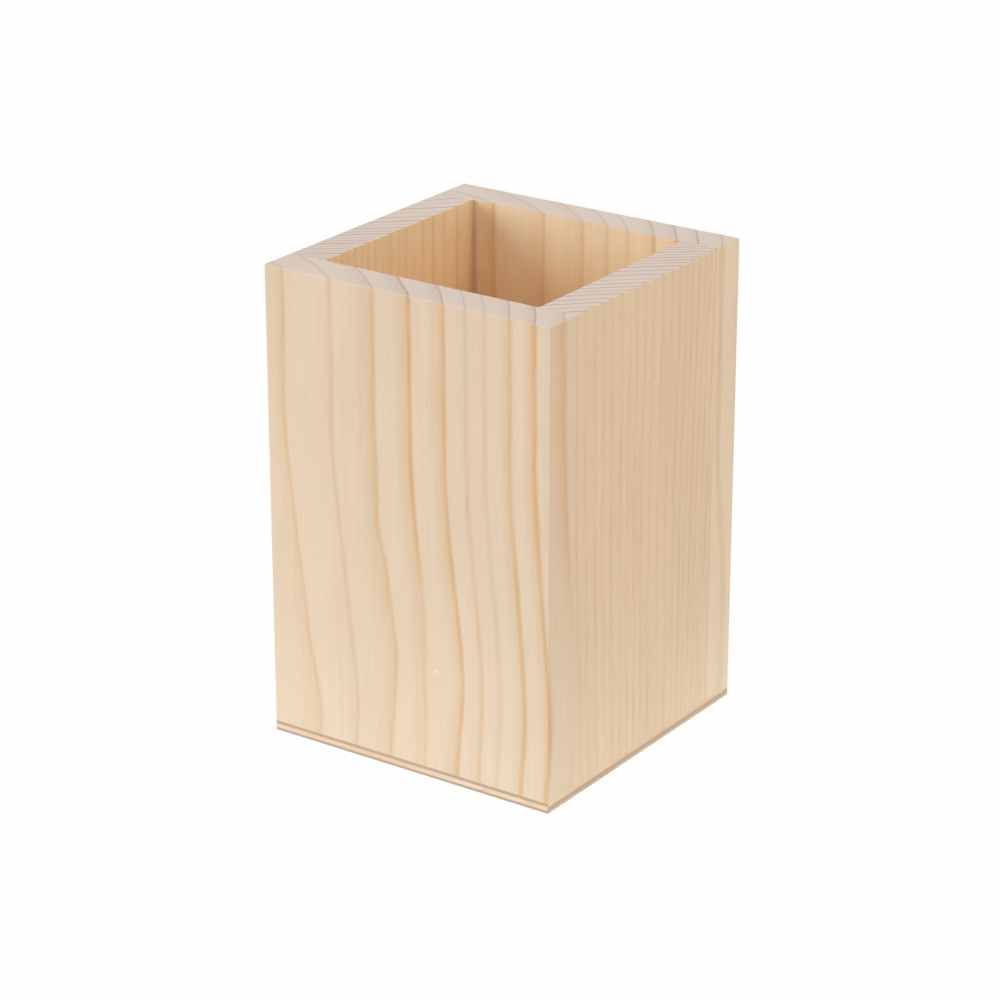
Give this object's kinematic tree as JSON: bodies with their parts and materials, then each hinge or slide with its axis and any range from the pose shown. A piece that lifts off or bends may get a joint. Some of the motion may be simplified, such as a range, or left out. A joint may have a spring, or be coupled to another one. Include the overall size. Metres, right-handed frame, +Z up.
{
  "type": "pen holder",
  "caption": "Square upright pen holder of glued pine boards on a thin plywood base, with an open well that keeps pens and pencils upright on a desk.",
  "frame": {"origin": "centre of the base's underside, on the table", "axes": "+Z up through the well, +X to the right board, -Y to the front board"},
  "size_m": [0.08, 0.08, 0.119],
  "materials": {
    "flat_sawn_pine": "bare pine, sanded, with wide flat-sawn growth rings",
    "quarter_sawn_pine": "bare pine, sanded, with fine straight quarter-sawn lines",
    "ply_face_veneer": "raw sawn veneer edge",
    "ply_core_veneer": "raw sawn veneer edge, grain across the face veneers"
  },
  "bodies": {
    "root": {"front_board": "flat_sawn_pine", "back_board": "flat_sawn_pine", "left_board": "quarter_sawn_pine", "right_board": "quarter_sawn_pine", "base_top_ply": "ply_face_veneer", "base_core_ply": "ply_core_veneer", "base_bottom_ply": "ply_face_veneer"}
  },
  "joints": []
}
